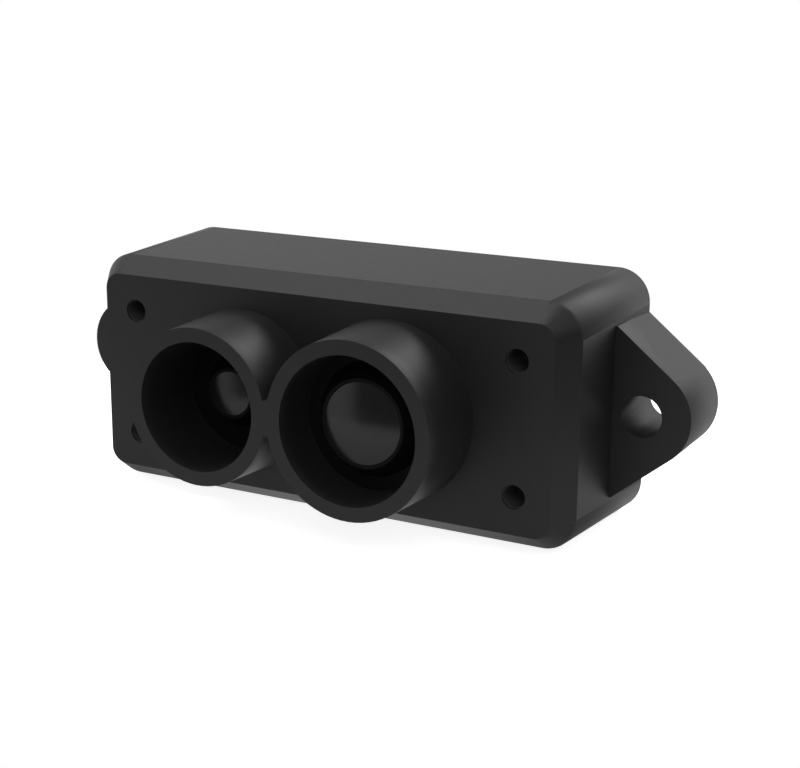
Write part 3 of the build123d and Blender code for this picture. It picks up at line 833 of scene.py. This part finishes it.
def add_vias(fan):
    """Tinned copper: a via at the end of each fanned track, rings round the screws and fiducials."""
    vias = Relief()
    for run in fan:
        vias.round_ring(run[-1], VIA_RING, VIA_CORNERS)
    for screw in BOARD_SCREWS:
        vias.round_ring(middle(sides_of(screw)), SCREW_RING, SCREW_RING_CORNERS)
    for place in FIDUCIALS:
        vias.plate(circle(place, FIDUCIAL_RADIUS), COPPER_HEIGHT)
    vias.add("board_vias", "lead_metal", "lead_metal")


def add_test_pads():
    """Plated pads for test probes."""
    pads = Relief()
    for place in TEST_PADS:
        pads.plate(circle(place, TEST_PAD_RADIUS), PAD_HEIGHT)
    pads.add("test_pads", "contact_metal", "contact_metal")


def print_outlines():
    """White outlines round the parts on the board."""
    ink = Relief()
    for name, gap in PRINTED_BOXES:
        sides = sides_of(name)
        ink.ring(rectangle(sides, gap + PRINTED_LINE), rectangle(sides, gap), INK_HEIGHT)
    for name in PRINTED_DASHES:
        for foot in footprints(name):
            x, z = middle(foot)
            for dash_z in (z - DASH_OFFSET, z + DASH_OFFSET):
                ink.printed_line(((x - DASH_LENGTH / 2, dash_z), (x + DASH_LENGTH / 2, dash_z)))
    for name in PRINTED_CORNERS:
        low_x, high_x, low_z, high_z = sides_of(name)
        for x, arm_x in ((low_x - CORNER_GAP, CORNER_LENGTH), (high_x + CORNER_GAP, -CORNER_LENGTH)):
            for z, arm_z in ((low_z - CORNER_GAP, CORNER_LENGTH), (high_z + CORNER_GAP, -CORNER_LENGTH)):
                ink.printed_line(((x, z + arm_z), (x, z), (x + arm_x, z)))
    ink.add("printed_outlines", "printing_ink", "board_laminate")


def add_chip_dots():
    """The moulded dot on each large chip, standing just above its top."""
    dots = Relief()
    for name in DOTTED_CHIPS:
        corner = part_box(name)[1] / MM
        place = (corner.x - DOT_INSET, corner.z - DOT_INSET)
        dots.plate(circle(place, DOT_RADIUS), corner.y - board_face + DOT_HEIGHT)
    dots.add("pin_dots", "chip_dot", "chip_epoxy")


def floor_material():
    """Pale paper with the floor's two lifts to white."""
    material = bpy.data.materials.new("floor_white")
    material.use_nodes = True
    graph = Graph(material.node_tree)
    graph.tree.nodes.clear()

    paths = graph.add("ShaderNodeLightPath")
    distance = graph.add("ShaderNodeVectorMath", operation="LENGTH")
    graph.feed(distance, 0, graph.add("ShaderNodeNewGeometry").outputs["Position"])
    near, far = FLOOR_LIFT_REACH
    around = graph.ease(distance.outputs["Value"], near * MM, far * MM, FLOOR_LIFT_MIRRORED, 0.0)
    mirrored_lift = graph.calc("MULTIPLY", graph.mirrored(paths), around)
    seen_lift = graph.calc("MULTIPLY", paths.outputs["Is Camera Ray"], FLOOR_LIFT_SEEN)

    paper = graph.add("ShaderNodeBsdfDiffuse")
    paper.inputs["Color"].default_value = (FLOOR_ALBEDO, FLOOR_ALBEDO, FLOOR_ALBEDO, 1)
    glow = graph.add("ShaderNodeEmission")
    graph.feed(glow, "Strength", graph.calc("ADD", seen_lift, mirrored_lift))
    both = graph.add("ShaderNodeAddShader")
    graph.feed(both, 0, paper.outputs[0])
    graph.feed(both, 1, glow.outputs[0])
    graph.feed(graph.add("ShaderNodeOutputMaterial"), "Surface", both.outputs[0])
    return material


def build_floor():
    """Round floor at the sensor's lowest point, white but for the sensor's own soft shadow."""
    mesh = bmesh.new()
    rim = [Vector((x * MM, y * MM, cad_box[0].z)) for x, y in circle((0, 0), FLOOR_RADIUS, FLOOR_CORNERS)]
    mesh.faces.new([mesh.verts.new(corner) for corner in rim])
    data = bpy.data.meshes.new("floor")
    mesh.to_mesh(data)
    mesh.free()
    data.materials.append(floor_material())
    floor = bpy.data.objects.new("floor", data)
    bpy.context.scene.collection.objects.link(floor)


def build_world():
    """Soft studio dome with its lights and backdrop, plain white where it is seen directly."""
    world = bpy.data.worlds.new("studio")
    bpy.context.scene.world = world
    world.use_nodes = True
    sky = Sky(world.node_tree)

    inside_edge = sky.ease(sky.along(SOFTBOX_EDGE - 90, 0), *SOFTBOX_EDGE_BLUR, 0.0, 1.0)
    light = sky.calc("MULTIPLY", sky.soft_light(*SOFTBOX), inside_edge)
    for soft_light in SOFT_LIGHTS:
        light = sky.calc("ADD", light, sky.soft_light(*soft_light))
    light = sky.calc("ADD", light, DOME_LEVEL)

    paths = sky.add("ShaderNodeLightPath")
    parts = sky.add("ShaderNodeSeparateXYZ")
    sky.feed(parts, "Vector", sky.direction)
    behind = sky.ease(parts.outputs["Y"], *BACKDROP_REAR_FADE, 0.0, 1.0)
    low_down = sky.ease(parts.outputs["Z"], *BACKDROP_TOP_FADE, BACKDROP_WHITE, 0.0)
    backdrop = sky.calc("MULTIPLY", sky.calc("MULTIPLY", sky.mirrored(paths), behind), low_down)
    white = sky.calc("ADD", paths.outputs["Is Camera Ray"], backdrop, use_clamp=True)
    rest = sky.calc("MULTIPLY", light, sky.calc("SUBTRACT", 1.0, white))

    glow = sky.add("ShaderNodeBackground")
    glow.inputs["Color"].default_value = (1, 1, 1, 1)
    sky.feed(glow, "Strength", sky.calc("ADD", rest, white))
    sky.feed(sky.add("ShaderNodeOutputWorld"), "Surface", glow.outputs[0])


def build_camera():
    """Camera at the photograph's viewing angle."""
    camera_data = bpy.data.cameras.new("camera")
    camera_data.lens = CAMERA_LENS
    camera_data.clip_start = CAMERA_CLIP_START * MM
    camera = bpy.data.objects.new("camera", camera_data)
    bpy.context.scene.collection.objects.link(camera)
    camera.location = Vector(CAMERA_PLACE) * MM
    view = Vector(CAMERA_AIM) - Vector(CAMERA_PLACE)
    roll = Quaternion((0, 0, 1), math.radians(CAMERA_ROLL))
    camera.rotation_mode = "QUATERNION"
    camera.rotation_quaternion = view.to_track_quat("-Z", "Y") @ roll
    bpy.context.scene.camera = camera


finish_nodes()
round_edges()
paint_bore_shade()
paint_hole_light()
turn_lenses()
fan = fan_out()
add_solder()
add_tracks(fan)
add_vias(fan)
add_test_pads()
print_outlines()
add_chip_dots()
build_floor()
build_world()
build_camera()
bpy.context.scene.view_settings.view_transform = "Standard"
